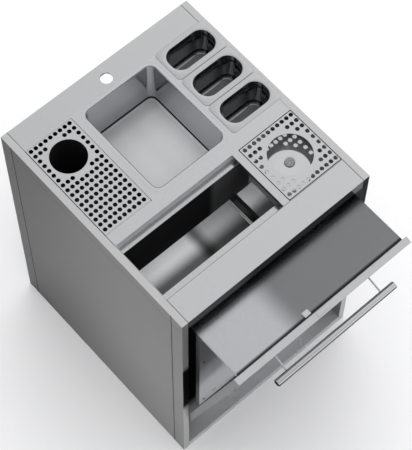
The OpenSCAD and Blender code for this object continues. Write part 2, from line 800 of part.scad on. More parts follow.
module shelf_hinge_leaf(x0) {
    x = [x0 + knuckle_len + 0.5, x0 + hinge_len - knuckle_len - 0.5];
    difference() {
        union() {
            block(x, [hinge_at[0] - 2, hinge_at[0] + 24], [shelf_under - 1.2, shelf_under]);
            block(x, [hinge_at[0] - 1, hinge_at[0] + 3], [hinge_at[1] + 2, shelf_under - 1]);
            rod_x(x, hinge_at[0], hinge_at[1], knuckle_r);
        }
        rod_x(grow(x, cut), hinge_at[0], hinge_at[1], rod_r + bearing_gap);
    }
}

module shelf_hinge_leaves() color(dark_steel) from_corner() for (x0 = hinge_x) shelf_hinge_leaf(x0);

module shelf() color(steel) from_corner() difference() {
    block(shelf_x, shelf_y, [shelf_under - shelf_lip, shelf_top]);
    block(grow(shelf_x, -skin_t), [shelf_y[0] - cut, shelf_y[1] - skin_t],
        [shelf_under - shelf_lip - cut, shelf_under]);
}

module shelf_lug() color(bright_steel) from_corner()
    block([272, 292], [shelf_y[0], shelf_y[0] + 16], [shelf_top, shelf_top + 2]);

left_frame();
left_panel();
left_liner();
right_frame();
right_panel();
right_liner();
worktop();
front_strip();
tap_deck();
worktop_rail();
pan_rails();
tap_plate();
back_top_rail();
back_mid_rail();
base_pan();
base_stiffener();
service_panel();
service_screws();
sink_bowl();
sink_waste();
sink_trap();
sink_strainer();
drain_header();
pan_back();
pan_middle();
pan_front();
drainer_plate();
drainer_tray();
drainer_drain();
waste_chute();
waste_bin();
drip_plate();
drip_feet();
drip_basin();
drip_grate();
drip_drain();
ice_bin_liner();
ice_bin_foam();
ice_bin_casing();
trough_rail();
ice_drain();
door_outer();
door_inner();
pivot_pins();
pivot_blocks();
door_keeper();
catch_magnet();
handle_bar();
handle_caps();
handle_posts();
handle_screws();
door_stay();
stay_guide();
door_hinge_leaves();
hinge_rods();
shelf();
shelf_hinge_leaves();
shelf_lug();
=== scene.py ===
import math

import bmesh
import bpy
from mathutils import Matrix, Quaternion, Vector


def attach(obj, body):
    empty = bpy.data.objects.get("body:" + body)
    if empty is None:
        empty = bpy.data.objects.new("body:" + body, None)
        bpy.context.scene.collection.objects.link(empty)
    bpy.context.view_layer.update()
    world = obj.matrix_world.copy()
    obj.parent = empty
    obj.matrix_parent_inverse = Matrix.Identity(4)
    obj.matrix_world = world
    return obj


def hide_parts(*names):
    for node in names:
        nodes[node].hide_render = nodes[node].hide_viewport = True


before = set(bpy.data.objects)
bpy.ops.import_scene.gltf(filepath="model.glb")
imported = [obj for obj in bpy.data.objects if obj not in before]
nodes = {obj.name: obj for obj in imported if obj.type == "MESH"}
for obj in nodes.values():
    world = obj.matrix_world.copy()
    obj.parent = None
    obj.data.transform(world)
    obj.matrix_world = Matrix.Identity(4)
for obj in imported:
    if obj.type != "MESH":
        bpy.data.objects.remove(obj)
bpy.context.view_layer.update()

scene = bpy.context.scene

# The view. The camera stands high at the front left, far off with a long lens, and leans by less
# than a degree, as in the photograph.
camera_place = Vector((-1.4239, -1.6581, 4.9259))
camera_target = Vector((0.0639, -0.0177, 0.4625))
camera_roll = math.radians(0.75)
camera_data = bpy.data.cameras.new("photo_view")
camera_data.sensor_fit = "HORIZONTAL"
camera_data.sensor_width = 36.0
camera_data.lens = 152.0
camera_data.clip_end = 90.0
camera = bpy.data.objects.new("photo_view", camera_data)
look = (camera_target - camera_place).to_track_quat("-Z", "Y")
camera.rotation_mode = "QUATERNION"
camera.rotation_quaternion = look @ Quaternion((0.0, 0.0, 1.0), camera_roll)
camera.location = camera_place
scene.collection.objects.link(camera)
scene.camera = camera
scene.view_settings.view_transform = "Standard"

# The studio. A pale floor that fades to white away from the object, and a white wall all round it.
# The white is there for the camera and for mirrors only, so that it doesn't light the object.
studio_colour = (0.97, 0.97, 0.98, 1.0)
studio_radius = 20.0
studio_wall_height = 10.0
studio_segments = 64
floor_rough = 0.9
floor_sheen = 0.1
fade_start = 0.85
fade_end = 2.4


def ramp_node(tree, value, low, high):
    """A smooth mask: 0 where the value is at low or past it, 1 at high."""
    ramp = tree.nodes.new("ShaderNodeMapRange")
    ramp.interpolation_type = "SMOOTHSTEP"
    ramp.inputs["From Min"].default_value = low
    ramp.inputs["From Max"].default_value = high
    tree.links.new(value, ramp.inputs["Value"])
    return ramp.outputs["Result"]


def math_node(tree, operation, first, second):
    """One sum on a value and a value or number."""
    node = tree.nodes.new("ShaderNodeMath")
    node.operation = operation
    tree.links.new(first, node.inputs[0])
    if isinstance(second, float):
        node.inputs[1].default_value = second
    else:
        tree.links.new(second, node.inputs[1])
    return node.outputs[0]


def new_finish(name):
    """A new material, with its node tree and its shader."""
    finish = bpy.data.materials.new(name)
    finish.use_nodes = True
    return finish, finish.node_tree, finish.node_tree.nodes["Principled BSDF"]


def whiten(tree, dull, share=None):
    """Shows white instead of a dull surface to the camera and in mirrors, all over or by a share."""
    path = tree.nodes.new("ShaderNodeLightPath")
    seen = math_node(tree, "MAXIMUM", path.outputs["Is Camera Ray"], path.outputs["Is Glossy Ray"])
    seen = math_node(tree, "MAXIMUM", seen, path.outputs["Is Transmission Ray"])
    if share is not None:
        seen = math_node(tree, "MULTIPLY", share, seen)
    glow = tree.nodes.new("ShaderNodeEmission")
    mix = tree.nodes.new("ShaderNodeMixShader")
    tree.links.new(seen, mix.inputs[0])
    tree.links.new(dull, mix.inputs[1])
    tree.links.new(glow.outputs["Emission"], mix.inputs[2])
    tree.links.new(mix.outputs["Shader"], tree.nodes["Material Output"].inputs["Surface"])


def add_object(name, bm, finish):
    """Puts a mesh into the scene as an object with one finish."""
    mesh = bpy.data.meshes.new(name)
    bm.to_mesh(mesh)
    bm.free()
    mesh.materials.append(finish)
    thing = bpy.data.objects.new(name, mesh)
    scene.collection.objects.link(thing)
    return thing


floor_paint, floor_tree, floor_shader = new_finish("studio_floor")
floor_shader.inputs["Base Color"].default_value = studio_colour
floor_shader.inputs["Roughness"].default_value = floor_rough
floor_shader.inputs["Specular IOR Level"].default_value = floor_sheen
floor_place = floor_tree.nodes.new("ShaderNodeTexCoord")
floor_reach = floor_tree.nodes.new("ShaderNodeVectorMath")
floor_reach.operation = "LENGTH"
floor_tree.links.new(floor_place.outputs["Object"], floor_reach.inputs[0])
whiten(floor_tree, floor_shader.outputs["BSDF"],
       ramp_node(floor_tree, floor_reach.outputs["Value"], fade_start, fade_end))
floor_bm = bmesh.new()
bmesh.ops.create_circle(floor_bm, cap_ends=True, radius=studio_radius, segments=studio_segments)
floor = add_object("studio_floor", floor_bm, floor_paint)

wall_paint, wall_tree, wall_shader = new_finish("studio_wall")
wall_tree.nodes.remove(wall_shader)
wall_dull = wall_tree.nodes.new("ShaderNodeBsdfDiffuse")
wall_dull.inputs["Color"].default_value = studio_colour
whiten(wall_tree, wall_dull.outputs["BSDF"])
wall_bm = bmesh.new()
bmesh.ops.create_cone(wall_bm, radius1=studio_radius, radius2=studio_radius, depth=studio_wall_height,
                      segments=studio_segments,
                      matrix=Matrix.Translation((0.0, 0.0, studio_wall_height / 2)))
wall = add_object("studio_wall", wall_bm, wall_paint)

# The light. The sky falls off in a straight line from the right to the left, and a little from the
# back to the front and from the zenith down, between a least and a most. One wide soft lamp hangs
# overhead and isn't seen in the steel.
sky_level = 0.38
sky_slopes = (0.60, 0.15, 0.27)
sky_least = 0.34
sky_most = 0.95
lamp_power = 200.0
lamp_size = 6.0
lamp_place = (0.3, 0.1, 5.0)

sky = bpy.data.worlds.new("studio_sky")
sky.use_nodes = True
scene.world = sky
sky_tree = sky.node_tree
sky_shader = sky_tree.nodes["Background"]
sky_place = sky_tree.nodes.new("ShaderNodeTexCoord")
sky_dot = sky_tree.nodes.new("ShaderNodeVectorMath")
sky_dot.operation = "DOT_PRODUCT"
sky_dot.inputs[1].default_value = sky_slopes
sky_clamp = sky_tree.nodes.new("ShaderNodeClamp")
sky_clamp.inputs["Min"].default_value = sky_least
sky_clamp.inputs["Max"].default_value = sky_most
sky_tree.links.new(sky_place.outputs["Generated"], sky_dot.inputs[0])
sky_tree.links.new(math_node(sky_tree, "ADD", sky_dot.outputs["Value"], sky_level),
                   sky_clamp.inputs["Value"])
sky_tree.links.new(sky_clamp.outputs[0], sky_shader.inputs["Color"])

lamp_data = bpy.data.lights.new("overhead_lamp", "AREA")
lamp_data.size = lamp_size
lamp_data.energy = lamp_power
lamp = bpy.data.objects.new("overhead_lamp", lamp_data)
lamp.location = lamp_place
lamp.visible_glossy = False
lamp.visible_camera = False
scene.collection.objects.link(lamp)

# The two side walls. Each is a folded frame of 1.5 mm stainless sheet, two posts and a top rail,
# with a panel let in between them and a plain liner inside. The marks on them stand for the
# studio that the photograph shows in the steel.
metre = 1000.0
cabinet_width = 650.0
cabinet_depth = 725.0
grain_across = (1.0, 26.0, 26.0)
grain_upright = (26.0, 26.0, 1.0)
grain_plain = (3.0, 3.0, 3.0)
grain_scale = 60.0
grain_detail = 4.0
smear_scale = 5.0
smear_detail = 3.0
noise_span = (0.3, 0.7)
grain_relief = 0.05
relief_depth = 0.0002
least_rough = 0.02
steel_sheen = 0.3
upright_slope = (0.62, 0.32)
front_slope = (-0.5, -0.8)
low_height = (0.898, 0.896)
line_core = 0.7


def at(x, y, z):
    """A place given in millimetres from the cabinet's front left corner on the floor."""
    return Vector(((x - cabinet_width / 2) / metre, (y - cabinet_depth / 2) / metre, z / metre))


def darken(tree, colour, mask, factor):
    """Multiplies a colour by a factor where the mask is 1."""
    mix = tree.nodes.new("ShaderNodeMixRGB")
    mix.blend_type = "MULTIPLY"
    mix.inputs["Color2"].default_value = (factor, factor, factor, 1.0)
    tree.links.new(mask, mix.inputs["Fac"])
    tree.links.new(colour, mix.inputs["Color1"])
    return mix.outputs["Color"]


def noise_node(tree, vector, scale, detail):
    """A cloudy pattern, as a value from 0 to 1."""
    noise = tree.nodes.new("ShaderNodeTexNoise")
    noise.inputs["Scale"].default_value = scale
    noise.inputs["Detail"].default_value = detail
    tree.links.new(vector, noise.inputs["Vector"])
    return noise.outputs["Fac"]


def span_node(tree, value, low, high, found=(0.0, 1.0)):
    """Stretches a value, found between two bounds, so that it runs from low to high."""
    span = tree.nodes.new("ShaderNodeMapRange")
    span.inputs["From Min"].default_value = found[0]
    span.inputs["From Max"].default_value = found[1]
    span.inputs["To Min"].default_value = low
    span.inputs["To Max"].default_value = high
    tree.links.new(value, span.inputs["Value"])
    return span.outputs["Result"]


def shade_node(tree, value, low, high, found=(0.0, 1.0)):
    """Turns a value, found between two bounds, into a colour from low to high."""
    ramp = tree.nodes.new("ShaderNodeValToRGB")
    for element, place, colour in zip(ramp.color_ramp.elements, found, (low, high)):
        element.position = place
        element.color = (*colour, 1.0)
    tree.links.new(value, ramp.inputs["Fac"])
    return ramp.outputs["Color"]


def relief_node(tree, height, strength):
    """A very shallow relief, for a shader's Normal."""
    relief = tree.nodes.new("ShaderNodeBump")
    relief.inputs["Strength"].default_value = strength
    relief.inputs["Distance"].default_value = relief_depth
    tree.links.new(height, relief.inputs["Height"])
    return relief.outputs["Normal"]


def face_masks(tree, normal, height):
    """Masks of the faces that lie flat, stand upright, look to the front, or stand below the ice
    bin's ledges. A face that looks down counts as upright."""
    facing = tree.nodes.new("ShaderNodeSeparateXYZ")
    tree.links.new(normal, facing.inputs["Vector"])
    upright = ramp_node(tree, facing.outputs["Z"], *upright_slope)
    flat = math_node(tree, "MULTIPLY", math_node(tree, "SUBTRACT", upright, 1.0), -1.0)
    front = ramp_node(tree, facing.outputs["Y"], *front_slope)
    low = math_node(tree, "MULTIPLY", upright, ramp_node(tree, height, *low_height))
    return {"_flat": flat, "_upright": upright, "_front": front, "_low": low}


def steel_finish(name, tone, rough, grain=grain_across, side=1.0, marks=(), metal=1.0, tint=0.03,
                 spread=0.05, smear=0.04, flat_rough=0.0, flat_metal=None):
    """Stainless sheet with a fine grain along one way and faint smears of polish. Upright faces have
    side times its tone: painted shade where side is below 1, painted light where it is above. Flat
    faces are rougher by flat_rough, and mirror by flat_metal instead of metal. Each mark, (kind, axis,
    place, reach, factor), tones a line, a soft band or all that lies past a place, in millimetres from
    the cabinet's corner; a mark is a dark seam or line, or else painted shade or painted light.
    All that lies past it is on the low side where reach is negative. The axis, X, Y or Z, may end in
    _flat, _upright, _front or _low, as face_masks has them, and the mark then keeps to those faces."""
    finish, tree, shader = new_finish(name)
    place = tree.nodes.new("ShaderNodeTexCoord")
    where = tree.nodes.new("ShaderNodeSeparateXYZ")
    tree.links.new(place.outputs["Object"], where.inputs["Vector"])
    masks = face_masks(tree, place.outputs["Normal"], where.outputs["Z"])
    stretch = tree.nodes.new("ShaderNodeMapping")
    stretch.inputs["Scale"].default_value = grain
    tree.links.new(place.outputs["Object"], stretch.inputs["Vector"])
    lines = noise_node(tree, stretch.outputs["Vector"], grain_scale, grain_detail)
    smears = noise_node(tree, place.outputs["Object"], smear_scale, smear_detail)

    polish = span_node(tree, smears, max(least_rough, rough - smear), rough + smear, noise_span)
    added = math_node(tree, "MULTIPLY", masks["_flat"], flat_rough)
    tree.links.new(math_node(tree, "ADD", added, polish), shader.inputs["Roughness"])
    shader.inputs["Metallic"].default_value = metal
    shader.inputs["Specular IOR Level"].default_value = steel_sheen if metal else 0.0
    if flat_metal is not None:
        mirror = math_node(tree, "MULTIPLY", masks["_flat"], flat_metal - metal)
        tree.links.new(math_node(tree, "ADD", mirror, metal), shader.inputs["Metallic"])

    least, most = tone * (1.0 - spread), tone * (1.0 + spread)
    shares = (1.0, 1.0 + tint / 4, 1.0 + tint)
    colour = shade_node(tree, lines, [least * share for share in shares],
                        [most * share for share in shares], noise_span)
    if side != 1.0:
        colour = darken(tree, colour, masks["_upright"], side)
    for kind, axis, spot, reach, factor in marks:
        middle = at(spot, spot, spot)["XYZ".index(axis[0])]
        reach = reach / metre
        value = math_node(tree, "SUBTRACT", where.outputs[axis[0]], middle)
        if kind == "past":
            mask = ramp_node(tree, value, -reach, reach)
        else:
            value = math_node(tree, "ABSOLUTE", value, 0.0)
            mask = ramp_node(tree, value, abs(reach), 0.0 if kind == "band" else abs(reach) * line_core)
        if axis[1:]:
            mask = math_node(tree, "MULTIPLY", mask, masks[axis[1:]])
        colour = darken(tree, colour, mask, factor)
    tree.links.new(colour, shader.inputs["Base Color"])
    tree.links.new(colour, shader.inputs["Specular Tint"])
    tree.links.new(relief_node(tree, lines, grain_relief), shader.inputs["Normal"])
    return finish


def dress(finish, *names):
    """Gives CAD nodes their finish."""
    for name in names:
        for slot in nodes[name].material_slots:
            slot.material = finish


front_post_seam = ("line", "Y_upright", 42.3, 1.6, 0.1)
back_post_seam = ("line", "Y_upright", 682.7, 1.6, 0.1)
top_rail_seam = ("line", "Z_upright", 880.0, 1.0, 0.4)
# Painted reflections of the studio: painted shade towards the back and the top, painted highlights on the
# front faces and at the top of the left post's front, and painted shadows across the posts' fronts. The
# seams above are dark joints.
back_painted_shade = ("past", "Y_upright", 430.0, 330.0, 0.62)
top_painted_shade = ("past", "Z_upright", 640.0, 300.0, 0.86)
front_painted_highlight = ("past", "Z_front", 0.0, 1.0, 1.35)
left_post_painted_highlight = ("past", "Z_front", 500.0, 20.0, 1.3)
left_post_shadow = ("line", "Z_front", 490.0, 165.0, 0.02)
right_post_shadow = ("past", "Z_front", 720.0, 90.0, 0.01)
wall_marks = (front_post_seam, back_post_seam, top_rail_seam, back_painted_shade, top_painted_shade, front_painted_highlight)
# Upright faces take painted shade, side times the tone, against the frames' lit tops.
wall_look = {"tone": 0.56, "rough": 0.3, "grain": grain_upright, "side": 0.8, "metal": 0.8,
             "tint": 0.0, "smear": 0.01}
wall_steel = steel_finish("wall_sheet_steel", marks=wall_marks + (left_post_painted_highlight, left_post_shadow),
                          **wall_look)
right_steel = steel_finish("right_wall_sheet_steel", marks=wall_marks + (right_post_shadow,),
                           **wall_look)
liner_steel = steel_finish("mill_finish_steel", tone=0.42, rough=0.42, grain=grain_plain)
# Near-black painted shade for the liners and the ice bin's casing, where the inside of the cabinet lies in
# shade.
inner_shade_steel = steel_finish("inner_painted_shade", tone=0.015, rough=0.7, grain=grain_plain, metal=0.0)
dress(wall_steel, "left_frame", "left_panel")
dress(right_steel, "right_frame", "right_panel")
dress(inner_shade_steel, "left_liner", "right_liner")

# The worktop. Three stainless sheets, butt welded and ground flush: a front strip folded down over
# the front, a middle with the cut-outs, and the tap deck, folded down at the back. They lie on
# rails of plain steel.
worktop_top = 925.0
left_seam = ("line", "X", 21.1, 0.9, 0.3)
right_seam = ("line", "X", 628.9, 0.9, 0.3)
front_weld = ("line", "Y_flat", 82.5, 0.9, 0.35)
worktop_steel = steel_finish("worktop_sheet_steel", tone=0.62, rough=0.17, marks=(left_seam,))
# The front strip's folded-down face takes painted shade, side times its tone.
strip_steel = steel_finish("front_strip_steel", tone=0.62, rough=0.17, side=0.48,
                           marks=(left_seam, right_seam, front_weld))
deck_steel = steel_finish("tap_deck_steel", tone=0.60, rough=0.17, marks=(left_seam, right_seam))
dress(worktop_steel, "worktop")
dress(strip_steel, "front_strip")
dress(deck_steel, "tap_deck")
dress(liner_steel, "worktop_rail", "pan_rails", "tap_plate", "back_top_rail", "back_mid_rail")

# The base and the service panel. A folded tray stands on the floor between the walls, stiffened
# underneath, and a panel behind the door hides the pipes. Behind its front lip the tray is in shade.
base_shade = ("past", "Y", 90.0, 12.0, 0.02)
base_steel = steel_finish("base_sheet_steel", tone=0.62, rough=0.3, metal=0.5, marks=(base_shade,))
panel_steel = steel_finish("service_panel_steel", tone=0.8, rough=0.3, metal=0.35, grain=grain_upright)
dress(base_steel, "base_pan")
dress(panel_steel, "service_panel")
dress(liner_steel, "base_stiffener", "service_screws")

# The sink bowl. Pressed from one sheet with rounded corners and a small bend round its flat floor,
# with the waste near the front left corner. Its flange is spot welded under the worktop.
bowl_plan = ((206.0, 446.0), (333.0, 637.0))
bowl_corner = 22.0
bowl_floor = 755.0
bowl_bend = 6.0
bowl_draft = 1.2
bowl_flange = 14.0
bowl_lip = 1.5
bowl_lip_mid = 0.4
bowl_straight = 8.0
bowl_taper_end = 12.0
bowl_taper_out = 0.1
bowl_floor_in = 1.5
bowl_wall = 1.2
flange_top = 923.4
corner_steps = 8
least_corner = 0.8
merge_distance = 1e-6
grain_pressed = (2.0, 2.0, 2.0)


def grow(span, by):
    """A span made wider by the same amount at both ends."""
    return (span[0] - by, span[1] + by)


def level(plan, by, z, corner):
    """One level of a skin: a plan of two spans grown all round, at a height, with its corner radius."""
    return (grow(plan[0], by), grow(plan[1], by), z, corner)


def corner_loop(bm, x, y, z, radius):
    """A closed loop of edges: a rectangle whose four corners are rounded."""
    old_faces = set(bm.faces)
    corners = [bm.verts.new(at(px, py, z)) for px, py in
               ((x[0], y[0]), (x[1], y[0]), (x[1], y[1]), (x[0], y[1]))]
    bm.faces.new(corners)
    bmesh.ops.bevel(bm, geom=corners, offset=radius / metre, offset_type="OFFSET", affect="VERTICES",
                    segments=corner_steps, profile=0.5, material=-1, clamp_overlap=True)
    face = [f for f in bm.faces if f not in old_faces]
    edges = [e for f in face for e in f.edges]
    bmesh.ops.delete(bm, geom=face, context="FACES_ONLY")
    return edges


def carried(point, old, new):
    """Where a point of one rounded rectangle lies on another: the same turn round the same corner."""
    place = []
    for axis in (0, 1):
        low, high = (at(*(old[0][i], old[1][i], 0.0))[axis] for i in (0, 1))
        new_low, new_high = (at(*(new[0][i], new[1][i], 0.0))[axis] for i in (0, 1))
        upper = point[axis] > (low + high) / 2
        centre = high - old[3] / metre if upper else low + old[3] / metre
        new_centre = new_high - new[3] / metre if upper else new_low + new[3] / metre
        place.append(new_centre + (point[axis] - centre) * new[3] / old[3])
    return Vector((place[0], place[1], new[2] / metre))


def skinned(bm, levels):
    """Draws out a rounded rectangle through its levels into one skin, and gives the last edges."""
    edges = corner_loop(bm, *levels[0])
    for old, new in zip(levels, levels[1:]):
        run = bmesh.ops.extrude_edge_only(bm, edges=edges)["geom"]
        edges = [part for part in run if isinstance(part, bmesh.types.BMEdge)]
        for vert in {v for edge in edges for v in edge.verts}:
            vert.co = carried(vert.co, old, new)
    return edges


def bend_levels(plan, z, corner, bend, steps=4):
    """Levels of a bend from an upright wall into a floor at height z."""
    levels = []
    for i in range(steps + 1):
        turn = math.pi / 2 * i / steps
        inset = bend * (1.0 - math.cos(turn))
        levels.append(level(plan, -inset, z + bend * (1.0 - math.sin(turn)),
                            max(corner - inset, least_corner)))
    return levels


def face_out(bm):
    """Joins what meets and turns every face the same way out."""
    bmesh.ops.remove_doubles(bm, verts=bm.verts, dist=merge_distance)
    bmesh.ops.recalc_face_normals(bm, faces=bm.faces)


def make_piece(name, bm, finish, body, replaced=(), crease=32.0):
    """Makes a mesh one of the object's pieces, on its body."""
    piece = add_object(name, bm, finish)
    piece.data.shade_smooth()
    piece.data.set_sharp_from_angle(angle=math.radians(crease))
    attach(piece, body)
    if replaced:
        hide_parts(*replaced)
    return piece


def thicken(piece, wall, ahead=True):
    """Gives a skin the thickness of its sheet, on the side that its faces look to or behind them."""
    layer = piece.modifiers.new("sheet", "SOLIDIFY")
    layer.thickness = wall / metre
    layer.offset = 1.0 if ahead else -1.0
    layer.use_even_offset = True


# Painted shade on the floor near the back wall and in a line at the walls' foot, painted light on the
# floor's right part, and painted light on the walls, whose side is above 1.
bowl_back_shade = ("past", "Y_flat", 600.0, 18.0, 0.8)
bowl_right_painted_light = ("past", "X_flat", 370.0, 45.0, 1.35)
bowl_bend_painted_shade = ("line", "Z_upright", 766.0, 6.0, 0.12)
bowl_steel = steel_finish("bowl_pressed_steel", tone=0.52, rough=0.15, grain=grain_pressed,
                          spread=0.01, side=1.12, flat_rough=0.28, flat_metal=0.25,
                          marks=(bowl_back_shade, bowl_right_painted_light, bowl_bend_painted_shade))
bowl_low_plan = tuple(grow(span, -bowl_draft) for span in bowl_plan)
bowl_levels = [
    level(bowl_plan, bowl_flange, flange_top, bowl_corner + bowl_flange),
    level(bowl_plan, bowl_lip, flange_top, bowl_corner + bowl_lip),
    level(bowl_plan, bowl_lip_mid, flange_top - bowl_lip_mid, bowl_corner + bowl_lip_mid),
    level(bowl_plan, 0.0, flange_top - bowl_lip, bowl_corner),
    level(bowl_plan, 0.0, flange_top - bowl_straight, bowl_corner),
    level(bowl_low_plan, bowl_taper_out, bowl_floor + bowl_bend + bowl_taper_end, bowl_corner),
    *bend_levels(bowl_low_plan, bowl_floor, bowl_corner, bowl_bend),
    level(bowl_low_plan, -bowl_bend - bowl_floor_in, bowl_floor, bowl_corner - bowl_bend - bowl_floor_in),
]
bowl_bm = bmesh.new()
bowl_edge = skinned(bowl_bm, bowl_levels)
bmesh.ops.contextual_create(bowl_bm, geom=bowl_edge)
face_out(bowl_bm)
bowl = make_piece("sink_bowl_pressed", bowl_bm, bowl_steel, "cabinet", ("sink_bowl",))
thicken(bowl, bowl_wall)

# Fine lines on the worktop, each a thin flat piece on the sheet: a near-black ring of painted shade
# where the sheet turns down at the bowl's edge and, outside it, the weld of its flange; black strips
# of painted shadow in the narrow gaps between the pans' rims, with a round notch at both ends; and a
# black dot of painted shadow at the end of the drainer's slit.
line_top = worktop_top + 0.08
line_thickness = 0.3
edge_width = 1.1
weld_width = 0.8
weld_out = 12.0
gap_width = 1.1
gap_rows = (433.95, 542.65)
gap_x = (478.0, 628.5)
gap_z = worktop_top + 0.5
notch_lift = 0.02
notch_radius = 1.9
slit_end = (175.9, 322.0)
slit_end_radius = 1.7
notch_segments = 16
sheen_range = 0.06
moulded_scale = 420.0
moulded_detail = 2.0
moulded_relief = 0.15


def plastic_finish(name, colour, rough, mottle=0.25):
    """Moulded plastic with a fine grain."""
    finish, tree, shader = new_finish(name)
    place = tree.nodes.new("ShaderNodeTexCoord")
    grains = noise_node(tree, place.outputs["Object"], moulded_scale, moulded_detail)
    shades = shade_node(tree, grains, [c * (1.0 - mottle) for c in colour],
                        [c * (1.0 + mottle) for c in colour])
    sheen = span_node(tree, grains, rough - sheen_range, rough + sheen_range)
    tree.links.new(shades, shader.inputs["Base Color"])
    tree.links.new(sheen, shader.inputs["Roughness"])
    tree.links.new(relief_node(tree, grains, moulded_relief), shader.inputs["Normal"])
    return finish


def drawn_out(bm, faces, vector):
    """Pulls faces along a vector into a solid."""
    run = bmesh.ops.extrude_face_region(bm, geom=faces, use_keep_orig=True)["geom"]
    bmesh.ops.translate(bm, vec=vector, verts=[v for v in run if isinstance(v, bmesh.types.BMVert)])


def face_up(bm):
    """Turns flat pieces so that they face up, and gives them a thin edge."""
    for face in bm.faces:
        face.normal_update()
        if face.normal.z < 0.0:
            face.normal_flip()
    drawn_out(bm, list(bm.faces), (0.0, 0.0, -line_thickness / metre))
    bmesh.ops.recalc_face_normals(bm, faces=bm.faces)


def ring(bm, plan, z, radius, width):
    """A flat ring, a width wide, outside a rounded rectangle."""
    skinned(bm, [level(plan, 0.0, z, radius), level(plan, width, z, radius + width)])


def dot(bm, x, y, z, radius):
    """A flat round notch."""
    bmesh.ops.create_circle(bm, cap_ends=True, radius=radius / metre, segments=notch_segments,
                            matrix=Matrix.Translation(at(x, y, z)))


# Near-black painted shade for the bowl's edge, and black painted shadow for the gaps and slits.
edge_shade_paint = steel_finish("bowl_edge_painted_shade", tone=0.04, rough=0.4, metal=0.6, spread=0.1)
weld_paint = steel_finish("weld_line_steel", tone=0.5, rough=0.35, metal=0.8, spread=0.1)
gap_shadow_paint = plastic_finish("gap_painted_shadow", (0.012, 0.012, 0.014), rough=0.7)
edge_bm = bmesh.new()
ring(edge_bm, bowl_plan, line_top, bowl_corner, edge_width)
face_up(edge_bm)
make_piece("bowl_edge_shade_line", edge_bm, edge_shade_paint, "cabinet")
weld_bm = bmesh.new()
ring(weld_bm, tuple(grow(span, weld_out) for span in bowl_plan), line_top, bowl_corner + weld_out,
     weld_width)
face_up(weld_bm)
make_piece("bowl_weld_line", weld_bm, weld_paint, "cabinet")
gap_bm = bmesh.new()
gap_size = Matrix.Diagonal(((gap_x[1] - gap_x[0]) / metre, gap_width / metre, 1.0, 1.0))
for gap_y in gap_rows:
    gap_place = Matrix.Translation(at(sum(gap_x) / 2, gap_y, gap_z))
    bmesh.ops.create_grid(gap_bm, x_segments=1, y_segments=1, size=0.5, matrix=gap_place @ gap_size)
    for dot_x in gap_x:
        dot(gap_bm, dot_x, gap_y, gap_z + notch_lift, notch_radius)
dot(gap_bm, *slit_end, line_top, slit_end_radius)
face_up(gap_bm)
make_piece("gap_lines", gap_bm, gap_shadow_paint, "cabinet")

# The sink waste. A turned steel flange with a grey strainer basket that lifts out by its knob,
# over a plastic trap under the bowl.
waste_place = (243.0, 368.0)
strainer_wall = 0.8
strainer_crease = 50.0
turned_steps = 48
strainer_profile = ((26.0, 756.6), (26.0, 758.0), (25.2, 758.8), (22.0, 758.8), (19.5, 757.4),
                    (17.5, 752.0), (7.0, 751.6), (4.0, 753.0), (3.2, 760.0), (3.2, 764.0), (7.5, 765.6),
                    (8.6, 767.6), (7.8, 769.8), (5.0, 770.5))


def turned(bm, profile, centre):
    """Turns a profile of (radius, height) about an upright line."""
    start = [bm.verts.new(at(centre[0] + radius, centre[1], z)) for radius, z in profile]
    line = [bm.edges.new(pair) for pair in zip(start, start[1:])]
    bmesh.ops.spin(bm, geom=start + line, cent=at(centre[0], centre[1], 0.0), axis=(0.0, 0.0, 1.0),
                   angle=math.tau, steps=turned_steps, use_merge=True)


waste_steel = steel_finish("waste_turned_steel", tone=0.4, rough=0.25, grain=grain_plain)
black_plastic = plastic_finish("pipe_plastic", (0.03, 0.03, 0.033), rough=0.5)
strainer_bm = bmesh.new()
turned(strainer_bm, strainer_profile, waste_place)
face_out(strainer_bm)
strainer = make_piece("sink_strainer_basket", strainer_bm, waste_steel, "sink_strainer",
                      ("sink_strainer",), crease=strainer_crease)
thicken(strainer, strainer_wall, ahead=False)
dress(waste_steel, "sink_waste")
dress(black_plastic, "sink_trap", "drain_header", "drainer_drain", "drip_drain", "ice_drain")

# The three food pans. Each is pressed from thin sheet: a flat rim with a turned edge, a stacking
# step and a rounded floor. They hang by their rims in slots and lift out. A form is how much a level
# is wider than the rim or the mouth, its height and its corner radius.
pan_x = 554.3
pan_places = (("pan_front", 379.6), ("pan_middle", 488.3), ("pan_back", 597.0))
pan_rim = (176.0, 108.0)
pan_mouth = (148.4, 78.4)
pan_step_z = 904.0
pan_step_in = 3.2
pan_floor = 825.8
pan_bend = 12.0
pan_bend_in = 1.5
pan_bend_corner = 29.0
pan_bend_steps = 5
pan_wall = 0.8
rim_forms = ((-0.4, 925.02, 12.0), (-1.2, 925.3, 11.2))
mouth_forms = ((6.0, 925.45, 38.0), (1.2, 925.45, 35.2), (0.3, 925.1, 34.3), (0.0, 924.0, 34.0),
               (0.0, pan_step_z + 1.2, 34.0), (-0.6, pan_step_z, 33.4),
               (0.4 - pan_step_in, pan_step_z - 0.4, 31.2), (-pan_step_in, pan_step_z - 1.6, 30.8))
floor_form = (-pan_step_in - 15.0, pan_floor, 15.5)


def centred(middle, size=(0.0, 0.0)):
    """The plan of a rectangle about its middle."""
    return tuple(grow((place, place), length / 2) for place, length in zip(middle, size))


